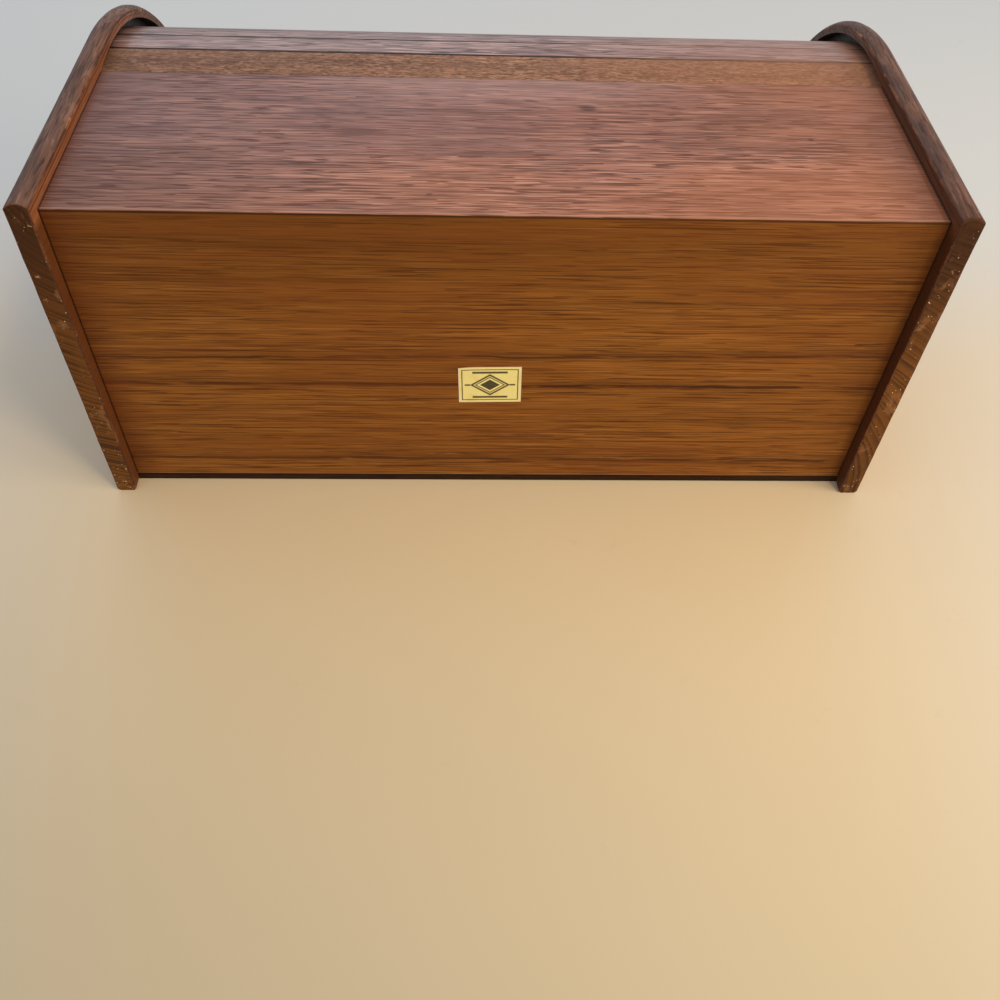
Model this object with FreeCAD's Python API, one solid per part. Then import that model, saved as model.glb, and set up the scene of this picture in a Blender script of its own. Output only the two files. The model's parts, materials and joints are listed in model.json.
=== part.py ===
import FreeCAD, Part
import math
import os

from FreeCAD import Vector

os.makedirs("parts", exist_ok=True)

# A tambour lid box in solid teak.  Two end panels carry a back panel, a top board, a bottom
# board and a front rail.  A curtain of slats, glued to canvas, runs in a round groove in each
# end panel: closed, it stands on the front rail; opened, it turns back under the top board and
# down inside the back panel.
#
# Millimetres.  +Z is up, the front faces -Y, and the origin is at the bottom centre.
# A "turn" is an angle about the track's centre, from the top (0) towards the front (90 degrees).

# ---------------------------------------------------------------- driving dimensions
width = 400.0             # over the end panels
depth = 280.5
height = 177.0

side_thickness = 10.0     # end panels
board_thickness = 8.0     # top board
panel_thickness = 6.0     # back panel
bottom_thickness = 4.7    # bottom board, a thin sheet
rail_thickness = 11.0     # front rail

board_drop = 7.5          # top board's face below the end panels' top edge
back_recess = 7.6         # back panel's face inside the end panels' back edge
front_recess = 7.6        # front rail's face inside the end panels' front edge
bottom_lift = 0.3         # bottom board above the table: the end panels carry the box
bottom_inset = 0.5        # its long edges inside the faces of the panel and rail that stand on it
rebate_depth = 4.0        # end panels' rebate for its ends
board_reach = 22.5        # top board's front edge, behind the track's centre

lip_drop = 6.0            # groove's outer wall below the rim
groove_depth = 6.0        # groove into the end panel
slat_drop = 10.5          # slats' face below the rim
slat_thickness = 5.5
slat_pitch_wanted = 19.3  # along the slats' face; the real pitch divides the curtain evenly
tail_width = 36.0         # tail slat, along its face
tail_past_top = 6.7       # tail slat's front edge past the top of the track
lead_width = 39.0         # lead rail, along its face
lead_thickness = 10.5     # lead rail between the end panels
lead_lap = 12.0           # canvas glued over the lead rail's upper part
canvas_thickness = 0.6
opening_turn = 80.0       # degrees, closed to open

pull_height = 8.5         # finger pull standing out of the lead rail's face
pull_width = 14.0         # along the rail's face
pull_rise = 12.0          # its underside above the rail's lower edge
pull_crown = 7.0          # rounding of its upper side
pull_nose = 2.6           # thickness in front of the hollow for the fingertips
cove_radius = 4.6         # that hollow
cove_lift = 1.5           # its middle above the pull's underside

rim_crown = 2.4           # rise of the end panels' rim from its edges to its middle
arris_round = 0.8         # boards' and rails' long edges
joint_round = 0.25        # top board's and back panel's arrises, along their mitre
slat_round = 0.4
foot_chamfer = 1.0        # end panels' bottom edges

board_dowel = 5.0         # diameters
panel_dowel = 4.0
rail_dowel = 6.0
bottom_dowel = 3.0
dowel_length = 18.0
dowel_in_side = 7.0
dowel_turn = 30.0         # degrees past the groove's middle, where the inner dowels clear it
top_dowel_inset = 15.0    # top board's rear dowels in front of the back panel
panel_dowel_inset = 10.0  # back panel's lower dowels above its underside
rail_dowel_inset = 9.0    # front rail's dowels inside its long edges
bottom_dowel_inset = 45.0  # bottom board's dowels from the end panels
bottom_dowel_rise = 10.0  # and up into the panel and rail that stand on it

label_width = 30.7
label_height = 23.5
label_thickness = 0.15
label_x = 3.0
label_z = 72.5

# ---------------------------------------------------------------- clearances
running_gap = 0.3         # slats over the groove's inner wall
slat_joint_gap = 0.1      # between neighbouring slats, at the canvas
slat_end_gap = 0.5        # slat ends in the groove
lead_side_gap = 0.5       # lead rail's body beside the end panels
canvas_side_gap = 1.5
rebate_gap = 0.2          # bottom board's ends and corners in the rebates
curtain_gap = 1.4         # curtain's face to the back panel
board_gap = 0.7           # curtain's face to the top board's hollow
closing_gap = 0.3         # lead rail over the front rail
groove_end_gap = 1.0      # beyond the curtain's ends, along the groove
dowel_gap = 0.05          # all round a dowel
dowel_end_gap = 0.5
cutter_overrun = 1.0      # cutters past the faces that they open

# ---------------------------------------------------------------- derived sizes and places
# The curtain keeps one radius, so the depth has to hold it between the rim in front
# and the back panel behind.
end_radius = (depth + slat_drop - back_recess - panel_thickness - curtain_gap) / 2
centre_y = end_radius - depth / 2
centre_z = height - end_radius

front_y = -depth / 2
back_y = depth / 2
inner_x = width / 2 - side_thickness
board_top = height - board_drop
panel_face = back_y - back_recess
panel_inner = panel_face - panel_thickness
rail_face = front_y + front_recess
rail_inner = rail_face + rail_thickness
bottom_top = bottom_lift + bottom_thickness
bottom_front = rail_face + bottom_inset
bottom_back = panel_face - bottom_inset
bottom_end_x = inner_x + rebate_depth - rebate_gap
board_front = centre_y + board_reach
rail_top = centre_z - closing_gap

slat_radius = end_radius - slat_drop
slat_inner = slat_radius - slat_thickness
lip_radius = end_radius - lip_drop
track_inner = slat_inner - running_gap
dowel_reach = lip_radius * math.sin(math.radians(dowel_turn))

closed_turn = math.pi / 2
tail_front = tail_past_top / slat_radius
tail_back = tail_front - tail_width / slat_radius
lead_back = closed_turn - lead_width / slat_radius
slat_count = round((lead_back - tail_front) * slat_radius / slat_pitch_wanted)
slat_turn = (lead_back - tail_front) / slat_count
slat_width = 2 * slat_inner * math.tan(slat_turn / 2) - slat_joint_gap
joint_radius = slat_inner / math.cos(slat_turn / 2)     # where the slats' inner corners meet
canvas_radius = joint_radius - canvas_thickness / math.cos(slat_turn / 2)

slat_end_x = inner_x + groove_depth - slat_end_gap
end_turn_gap = groove_end_gap / slat_radius
groove_front = closed_turn + end_turn_gap
groove_back = tail_back - math.radians(opening_turn) - end_turn_gap


# ---------------------------------------------------------------- helpers
def polar(radius, turn):
    """The point at a radius and a turn about the track's centre."""
    return Vector(0, centre_y - radius * math.sin(turn), centre_z + radius * math.cos(turn))


def line(a, b):
    return Part.LineSegment(a, b).toShape()


def curve(a, middle, b):
    return Part.Arc(a, middle, b).toShape()


def track_curve(radius, start, end):
    """An arc about the track's centre."""
    return curve(polar(radius, start), polar(radius, (start + end) / 2), polar(radius, end))


def along_x(edges, x_from, x_to):
    """A closed outline in the YZ plane, drawn out between two places along X."""
    face = Part.Face(Part.Wire(edges))
    face.translate(Vector(x_from, 0, 0))
    return face.extrude(Vector(x_to - x_from, 0, 0))


def across(edges, half_length):
    return along_x(edges, -half_length, half_length)


def polygon(points):
    """The edges of a closed outline through (y, z) points."""
    corners = [Vector(0, y, z) for y, z in points]
    return [line(a, b) for a, b in zip(corners, corners[1:] + corners[:1])]


def sector(inner, outer, start, end):
    """The outline of a ring's part, about the track's centre."""
    return [
        track_curve(outer, start, end),
        line(polar(outer, end), polar(inner, end)),
        track_curve(inner, end, start),
        line(polar(inner, start), polar(outer, start)),
    ]


def long_edges(solid, wanted):
    """Edges that run the whole way along X and whose (y, z) place is wanted."""
    length = solid.BoundBox.XLength
    found = []
    for edge in solid.Edges:
        box = edge.BoundBox
        if abs(box.XLength - length) < 1e-3 and box.YLength < 1e-3 and box.ZLength < 1e-3:
            if wanted(box.YMin, box.ZMin):
                found.append(edge)
    return found


def near(a, b):
    return abs(a - b) < 0.01


def rounded(solid, radius, corners):
    """The solid with its long edges rounded where they pass through these points."""
    edges = long_edges(
        solid, lambda y, z: any(near(y, corner.y) and near(z, corner.z) for corner in corners)
    )
    return solid.makeFillet(radius, edges)


def export(shape, name):
    shape.exportStep("parts/" + name + ".step")


# ---------------------------------------------------------------- dowels
# The top board, back panel and front rail have two dowels in each end, at these (y, z) places.
board_dowels = [
    (y, board_top - board_thickness / 2)
    for y in (centre_y + dowel_reach, panel_inner - top_dowel_inset)
]
panel_dowels = [
    (panel_face - panel_thickness / 2, z)
    for z in (bottom_top + panel_dowel_inset, centre_z + dowel_reach)
]
rail_dowels = [
    (rail_face + rail_thickness / 2, z)
    for z in (bottom_top + rail_dowel_inset, rail_top - rail_dowel_inset)
]


def pegs(places, diameter, grow=0.0, end_grow=0.0):
    """Dowels at both end panels, or their holes when grown by a clearance."""
    solids = []
    for side in (-1, 1):
        outer_end = inner_x + dowel_in_side + end_grow
        inner_end = inner_x + dowel_in_side - dowel_length - end_grow
        for y, z in places:
            start = Vector(side * inner_end, y, z)
            solids.append(
                Part.makeCylinder(diameter / 2 + grow, outer_end - inner_end, start, Vector(side, 0, 0))
            )
    return Part.makeCompound(solids)


def holes(places, diameter):
    return pegs(places, diameter, dowel_gap, dowel_end_gap)


def bottom_pegs(grow=0.0, end_grow=0.0):
    """Upright dowels through the bottom board, or their holes when grown by a clearance."""
    solids = []
    for x in (bottom_dowel_inset - inner_x, inner_x - bottom_dowel_inset):
        for y in (rail_face + rail_thickness / 2, panel_face - panel_thickness / 2):
            start = Vector(x, y, bottom_lift - end_grow)
            length = bottom_thickness + bottom_dowel_rise + 2 * end_grow
            solids.append(Part.makeCylinder(bottom_dowel / 2 + grow, length, start))
    return Part.makeCompound(solids)


bottom_holes = bottom_pegs(dowel_gap, dowel_end_gap)


# ---------------------------------------------------------------- end panels
def rim_section(side, base, out, reach):
    """An end panel's section, from a line through base to the crowned rim, reach away from it."""
    inner = base + Vector(side * inner_x, 0, 0)
    outer = base + Vector(side * width / 2, 0, 0)
    crest = (inner + outer) / 2 + out * reach
    inner_edge = inner + out * (reach - rim_crown)
    outer_edge = outer + out * (reach - rim_crown)
    return Part.Face(Part.Wire([
        line(inner, outer),
        line(outer, outer_edge),
        curve(outer_edge, crest, inner_edge),
        line(inner_edge, inner),
    ]))


def end_panel(side):
    """One end panel: side is -1 for the left and 1 for the right, seen from the front."""
    up = Vector(0, 0, 1)
    ahead = Vector(0, -1, 0)
    foot = Vector(0, centre_y, 0)
    # The section runs forward along the top, a quarter turn round the curve and down the front.
    behind = rim_section(side, foot, up, height).extrude(Vector(0, back_y - centre_y, 0))
    quarter = rim_section(side, polar(0, 0), up, end_radius).revolve(polar(0, 0), Vector(1, 0, 0), 90)
    below = rim_section(side, foot, ahead, end_radius).extrude(Vector(0, 0, centre_z))
    panel = behind.fuse([quarter, below]).removeSplitter()

    feet = [edge for edge in panel.Edges if edge.BoundBox.ZMax < 0.01]
    panel = panel.makeChamfer(foot_chamfer, feet)

    groove = along_x(
        sector(track_inner, lip_radius, groove_back, groove_front),
        side * (inner_x - cutter_overrun),
        side * (inner_x + groove_depth),
    )
    rebate = along_x(
        polygon([
            (bottom_front - rebate_gap, -cutter_overrun),
            (bottom_back + rebate_gap, -cutter_overrun),
            (bottom_back + rebate_gap, bottom_top),
            (bottom_front - rebate_gap, bottom_top),
        ]),
        side * (inner_x - cutter_overrun),
        side * (inner_x + rebate_depth),
    )
    panel = panel.cut(groove).cut(rebate)
    for places, diameter in (
        (board_dowels, board_dowel),
        (panel_dowels, panel_dowel),
        (rail_dowels, rail_dowel),
    ):
        panel = panel.cut(holes(places, diameter))
    return panel


export(end_panel(-1), "left_side")
export(end_panel(1), "right_side")

# ---------------------------------------------------------------- boards between the end panels
# The top board and the back panel meet in a mitre, from their outer arris to their inner corner.
board_underside = board_top - board_thickness
top_board = across(
    polygon([
        (board_front, board_top),
        (panel_face, board_top),
        (panel_inner, board_underside),
        (board_front, board_underside),
    ]),
    inner_x,
)
# Its front edge is hollowed underneath, where the curtain passes.
curtain_path = across(
    sector(slat_inner, slat_radius + board_gap, -closed_turn, closed_turn),
    inner_x + cutter_overrun,
)
top_board = top_board.cut(curtain_path)
top_board = rounded(top_board, arris_round, [Vector(0, board_front, board_top)])
top_board = rounded(top_board, joint_round, [Vector(0, panel_face, board_top)])
export(top_board.cut(holes(board_dowels, board_dowel)), "top_board")

back_panel = across(
    polygon([
        (panel_face, board_top),
        (panel_face, bottom_top),
        (panel_inner, bottom_top),
        (panel_inner, board_underside),
    ]),
    inner_x,
)
back_panel = rounded(back_panel, arris_round, [Vector(0, panel_face, bottom_top)])
back_panel = rounded(back_panel, joint_round, [Vector(0, panel_face, board_top)])
export(back_panel.cut(holes(panel_dowels, panel_dowel)).cut(bottom_holes), "back_panel")

# The bottom board lies under the back panel and the front rail, with its ends in the rebates.
bottom_board = across(
    polygon([
        (bottom_front, bottom_top),
        (bottom_back, bottom_top),
        (bottom_back, bottom_lift),
        (bottom_front, bottom_lift),
    ]),
    bottom_end_x,
)
export(bottom_board.cut(bottom_holes), "bottom_board")

front_rail = across(
    polygon([
        (rail_face, rail_top),
        (rail_inner, rail_top),
        (rail_inner, bottom_top),
        (rail_face, bottom_top),
    ]),
    inner_x,
)
rail_corners = [Vector(0, rail_face, rail_top), Vector(0, rail_face, bottom_top)]
front_rail = rounded(front_rail, 2 * arris_round, rail_corners)
export(front_rail.cut(holes(rail_dowels, rail_dowel)).cut(bottom_holes), "front_rail")

export(pegs(board_dowels, board_dowel), "top_board_dowels")
export(pegs(panel_dowels, panel_dowel), "back_panel_dowels")
export(bottom_pegs(), "bottom_board_dowels")
export(pegs(rail_dowels, rail_dowel), "front_rail_dowels")

label = Part.makeBox(
    label_width,
    label_thickness,
    label_height,
    Vector(label_x - label_width / 2, panel_face, label_z - label_height / 2),
)
export(label, "label")


# ---------------------------------------------------------------- curtain
def slat(middle):
    """A parallel-sided slat: flat against the canvas, and rounded to the track outside."""
    half = slat_width / 2
    outward = polar(1, middle) - polar(0, middle)
    forward = polar(1, middle + math.pi / 2) - polar(0, middle)
    hub = polar(0, middle)

    def place(radius, shift):
        return hub + outward * radius + forward * shift

    shoulder = math.sqrt(slat_radius ** 2 - half ** 2)
    back_in, front_in = place(slat_inner, -half), place(slat_inner, half)
    back_out, front_out = place(shoulder, -half), place(shoulder, half)
    solid = across(
        [
            line(back_in, back_out),
            curve(back_out, place(slat_radius, 0), front_out),
            line(front_out, front_in),
            line(front_in, back_in),
        ],
        slat_end_x,
    )
    return rounded(solid, slat_round, [back_out, front_out])


for number in range(slat_count):
    middle = tail_front + (number + 0.5) * slat_turn
    export(slat(middle), "slat_%02d" % (slat_count - number))

# The wide tail slat and lead rail are hollowed to the track's curve, so that they can run round it.
joint_turn_gap = slat_joint_gap / 2 / joint_radius
tail_end = tail_front - joint_turn_gap
tail_slat = across(sector(joint_radius, slat_radius, tail_back, tail_end), slat_end_x)
tail_corners = [polar(slat_radius, tail_back), polar(slat_radius, tail_end)]
export(rounded(tail_slat, slat_round, tail_corners), "tail_slat")


def lead_rail():
    """The lead rail: a curved tongue along the track, a thicker body and a finger pull."""
    start = lead_back + joint_turn_gap
    tongue = across(sector(joint_radius, slat_radius, start, closed_turn), slat_end_x)
    tongue = rounded(tongue, slat_round, [polar(slat_radius, start)])

    body_x = inner_x - lead_side_gap
    lap_end = lead_back + lead_lap / slat_radius
    body = across(
        sector(slat_radius - lead_thickness, slat_radius, lap_end, closed_turn), body_x
    )

    crest = slat_radius + pull_height
    pull_low = closed_turn - pull_rise / slat_radius
    pull_high = pull_low - pull_width / slat_radius
    pull = across(sector(slat_radius - slat_thickness, crest, pull_high, pull_low), body_x)
    pull = rounded(pull, pull_crown, [polar(crest, pull_high)])
    pull = rounded(pull, pull_nose / 2, [polar(crest, pull_low)])

    # The hollow is run along the rail with a round cutter, behind the pull's nose.
    hub = polar(crest - pull_nose - cove_radius, pull_low - cove_lift / slat_radius)
    cove = Part.makeCylinder(
        cove_radius, 2 * body_x, hub - Vector(body_x, 0, 0), Vector(1, 0, 0)
    )
    return tongue.fuse(body).fuse(pull).cut(cove).removeSplitter()


export(lead_rail(), "lead_rail")


def canvas():
    """Canvas glued to the slats' flat backs, the tail slat's hollow and the lead rail's lap."""
    joints = [tail_front + i * slat_turn for i in range(slat_count + 1)]
    lap_end = lead_back + lead_lap / slat_radius

    def skin(radius):
        edges = [track_curve(radius, tail_back, tail_front)]
        edges += [line(polar(radius, a), polar(radius, b)) for a, b in zip(joints, joints[1:])]
        return edges + [track_curve(radius, lead_back, lap_end)]

    ends = [
        line(polar(joint_radius, lap_end), polar(canvas_radius, lap_end)),
        line(polar(canvas_radius, tail_back), polar(joint_radius, tail_back)),
    ]
    outline = Part.__sortEdges__(skin(joint_radius) + skin(canvas_radius) + ends)
    return across(outline, inner_x - canvas_side_gap)


export(canvas(), "canvas_backing")
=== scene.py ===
"""A teak tambour lid box, dressed for its portrait.

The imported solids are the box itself.  Each section below takes one piece, in the order in which
the box is put together: it gives the piece its wood, cloth or paper, and models what the solid
leaves plain.  Metres, +Z up, the front of the box faces -Y, and it is seen here from behind.
"""

import json
import math

import bmesh
import bpy
from mathutils import Matrix, Vector, noise


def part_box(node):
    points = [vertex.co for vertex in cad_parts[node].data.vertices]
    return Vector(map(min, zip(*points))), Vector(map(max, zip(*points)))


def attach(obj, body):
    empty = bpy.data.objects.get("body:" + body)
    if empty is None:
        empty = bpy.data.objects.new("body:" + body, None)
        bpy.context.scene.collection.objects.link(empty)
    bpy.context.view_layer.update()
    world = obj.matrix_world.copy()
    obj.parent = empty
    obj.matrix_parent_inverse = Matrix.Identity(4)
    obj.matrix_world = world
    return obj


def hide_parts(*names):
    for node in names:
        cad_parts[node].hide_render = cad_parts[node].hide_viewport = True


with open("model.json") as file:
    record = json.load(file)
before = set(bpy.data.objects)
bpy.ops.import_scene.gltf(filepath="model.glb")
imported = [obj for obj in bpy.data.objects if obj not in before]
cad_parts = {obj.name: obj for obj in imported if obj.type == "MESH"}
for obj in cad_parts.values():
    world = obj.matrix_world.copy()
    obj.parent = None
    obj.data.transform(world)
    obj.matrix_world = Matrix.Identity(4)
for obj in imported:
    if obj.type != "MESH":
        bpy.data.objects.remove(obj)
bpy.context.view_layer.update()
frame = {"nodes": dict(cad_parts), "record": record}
nodes = frame["nodes"]
bpy.context.scene.view_settings.view_transform = "Standard"


# ------------------------------------------------------------------------------ camera
# The box stands on a table and is looked at from behind and above, about half a metre away,
# with an ordinary wide lens held a little askew.
image_size = 1000
camera_place = Vector((0.01692, 0.48527, 0.41452))
camera_yaw = math.radians(3.528)
camera_pitch = math.radians(50.668)
camera_roll = math.radians(2.928)
focal_pixels = 996.22
nearest_seen = 0.01


def level_axes(yaw, pitch):
    """Forward, right and up of a camera that looks towards -Y, turned by yaw and tilted down."""
    level = math.cos(pitch)
    forward = Vector((-math.sin(yaw) * level, -math.cos(yaw) * level, -math.sin(pitch)))
    right = Vector((-math.cos(yaw), math.sin(yaw), 0))
    return forward, right, right.cross(forward)


forward, right, up = level_axes(camera_yaw, camera_pitch)
rolled_right = math.cos(camera_roll) * right + math.sin(camera_roll) * up
rolled_up = math.cos(camera_roll) * up - math.sin(camera_roll) * right
bpy.ops.object.camera_add(location=camera_place)
camera = bpy.context.object
camera.rotation_euler = Matrix((rolled_right, rolled_up, -forward)).transposed().to_euler()
camera.data.lens = camera.data.sensor_width * focal_pixels / image_size
camera.data.clip_start = nearest_seen
bpy.context.scene.camera = camera


# ------------------------------------------------------------------------------ table and light
# A pale painted table top, cream where the light is warm near the camera and greyer behind the
# box.  Two soft warm lamps stand to the camera's right, and a cool window is far beyond the box.
table_reach = 6.0
table_cream = (217, 192, 152)
table_grey = (204, 201, 196)
table_painted_shadow = (150, 137, 112)
table_scuffed = (176, 158, 128)
paint_roughness = 0.55
cream_until = 0.20
grey_from = -0.15
sides_grey = (0.12, 0.34)
dim_range = (0.17, 0.60)
dim_slant = 0.35
dim_waver = 0.08
lamp_warm = (1.0, 0.82, 0.52)
window_cool = (0.80, 0.90, 1.0)
room_tone = (224, 233, 246)
room_strength = 0.86


def tone(red, green, blue):
    """A colour as the eye names it, 0 to 255, as the linear colour that a shader takes."""
    def linear(value):
        value /= 255
        return value / 12.92 if value <= 0.04045 else ((value + 0.055) / 1.055) ** 2.4
    return (linear(red), linear(green), linear(blue), 1)


def add(tree, kind, inputs=None, **settings):
    """One shader node.  An input that is another node's socket is linked, any other is set."""
    made = tree.nodes.new("ShaderNode" + kind)
    for name, value in settings.items():
        setattr(made, name, value)
    for name, value in (inputs or {}).items():
        if isinstance(value, bpy.types.NodeSocket):
            tree.links.new(value, made.inputs[name])
        else:
            made.inputs[name].default_value = value
    return made


def between(tree, value, low, high, at_low=0.0, at_high=1.0):
    """value from low to high taken smoothly to at_low to at_high."""
    found = add(tree, "MapRange", {"Value": value, "From Min": low, "From Max": high,
                                   "To Min": at_low, "To Max": at_high},
                interpolation_type="SMOOTHSTEP")
    return found.outputs["Result"]


def reckon(tree, operation, first, second=0.0, third=0.0):
    """One sum of two or three numbers or sockets."""
    made = tree.nodes.new("ShaderNodeMath")
    made.operation = operation
    for socket, value in zip(made.inputs, (first, second, third)):
        if isinstance(value, bpy.types.NodeSocket):
            tree.links.new(value, socket)
        else:
            socket.default_value = value
    return made.outputs["Value"]


def times(tree, first, *others):
    """Numbers or sockets multiplied together."""
    for other in others:
        first = reckon(tree, "MULTIPLY", first, other)
    return first


def near(tree, value, place, reach):
    """1 where value is at place, falling to 0 at reach on either side of it."""
    gap = reckon(tree, "ABSOLUTE", reckon(tree, "SUBTRACT", value, place))
    return between(tree, gap, 0.3 * reach, reach, 1.0, 0.0)


def mixed(tree, share, first, second, blend="MIX"):
    """Two colours mixed by share, a number or a socket."""
    made = tree.nodes.new("ShaderNodeMix")
    made.data_type = "RGBA"
    made.blend_type = blend
    for name, value in (("Factor", share), ("A", first), ("B", second)):
        socket = next(s for s in made.inputs if s.name == name and s.enabled)
        if isinstance(value, bpy.types.NodeSocket):
            tree.links.new(value, socket)
        else:
            socket.default_value = value
    return next(s for s in made.outputs if s.enabled)


def grains(tree, vector, scale, offset=(0, 0, 0), detail=2.0, roughness=0.5):
    """A noise of its own scale along each axis, in cells per metre."""
    stretched = add(tree, "Mapping", {"Vector": vector, "Location": offset, "Scale": scale})
    made = add(tree, "TexNoise", {"Vector": stretched.outputs["Vector"], "Scale": 1.0,
                                  "Detail": detail, "Roughness": roughness})
    return made


def shader(material):
    """The material's node tree and its one surface shader."""
    material.use_nodes = True
    tree = material.node_tree
    return tree, next(n for n in tree.nodes if n.type == "BSDF_PRINCIPLED")


bpy.ops.object.select_all(action="DESELECT")
bpy.ops.mesh.primitive_plane_add(size=2 * table_reach, location=(0, 0, 0))
table = bpy.context.object
table.name = "table_top"
paint = bpy.data.materials.new("table_paint")
tree, surface = shader(paint)
place = add(tree, "TexCoord").outputs["Object"]
split = add(tree, "SeparateXYZ", {"Vector": place})
greyness = reckon(tree, "MAXIMUM", between(tree, split.outputs["Y"], grey_from, cream_until, 1.0, 0.0),
                  between(tree, reckon(tree, "ABSOLUTE", split.outputs["X"]), *sides_grey, 0.0, 0.5))
cloudy = grains(tree, place, (3, 3, 3), detail=3).outputs["Fac"]
cast = mixed(tree, greyness, tone(*table_cream), tone(*table_grey))
# Towards the camera, and more on the +X side, the paint is darkened by a painted shadow.
away = reckon(tree, "ADD", split.outputs["Y"], times(tree, split.outputs["X"], dim_slant))
away = reckon(tree, "ADD", away, times(tree, cloudy, dim_waver))
shade = mixed(tree, between(tree, away, *dim_range, 0.0, 0.55), cast, tone(*table_painted_shadow))
scuffs = grains(tree, place, (38, 38, 38), (2, 9, 0), detail=5, roughness=0.7).outputs["Fac"]
shade = mixed(tree, between(tree, scuffs, 0.62, 0.72, 0.0, 0.10), shade, tone(*table_scuffed))
tree.links.new(shade, surface.inputs["Base Color"])
surface.inputs["Roughness"].default_value = paint_roughness
table.data.materials.append(paint)


def soft_lamp(name, place, aim, size, watts, colour):
    """A square soft lamp at place, turned to aim."""
    bpy.ops.object.light_add(type="AREA", location=place)
    lamp = bpy.context.object
    lamp.name = name
    lamp.data.size = size
    lamp.data.energy = watts
    lamp.data.color = colour
    lamp.rotation_euler = (Vector(aim) - Vector(place)).to_track_quat("-Z", "Y").to_euler()


soft_lamp("key_lamp", (-0.50, 0.70, 1.40), aim=(0, 0, 0.1), size=0.25, watts=7, colour=lamp_warm)
soft_lamp("side_lamp", (-1.00, 0.45, 0.50), aim=(0, 0, 0.1), size=0.5, watts=6.5, colour=lamp_warm)
soft_lamp("window", (0.45, -1.6, 1.05), aim=(0, 0, 0.15), size=1.1, watts=2.5, colour=window_cool)
world = bpy.data.worlds.new("room")
world.use_nodes = True
world.node_tree.nodes["Background"].inputs["Color"].default_value = tone(*room_tone)
world.node_tree.nodes["Background"].inputs["Strength"].default_value = room_strength
bpy.context.scene.world = world


# ------------------------------------------------------------------------------ end panels
# Two boards of solid teak, sawn and sanded to a D, with the grain running front to back, so the
# upright edges show end grain.  The finish is rubbed through along the rims and the back edges.
year_wander = 0.020
year_waver = 0.0007
fibre_wander = 0.006
fibre_waver = 0.00035
pore_depth = 0.0001


def length(tree, first, second):
    """The length of a line whose two legs are these."""
    squares = reckon(tree, "ADD", times(tree, first, first), times(tree, second, second))
    return reckon(tree, "SQRT", squares)


def tinted(tree, colour, tones, **shares):
    """The colour mixed towards each named tone in turn, by the share given for it."""
    for name, share in shares.items():
        colour = mixed(tree, share, colour, tone(*tones[name]))
    return colour


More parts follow.
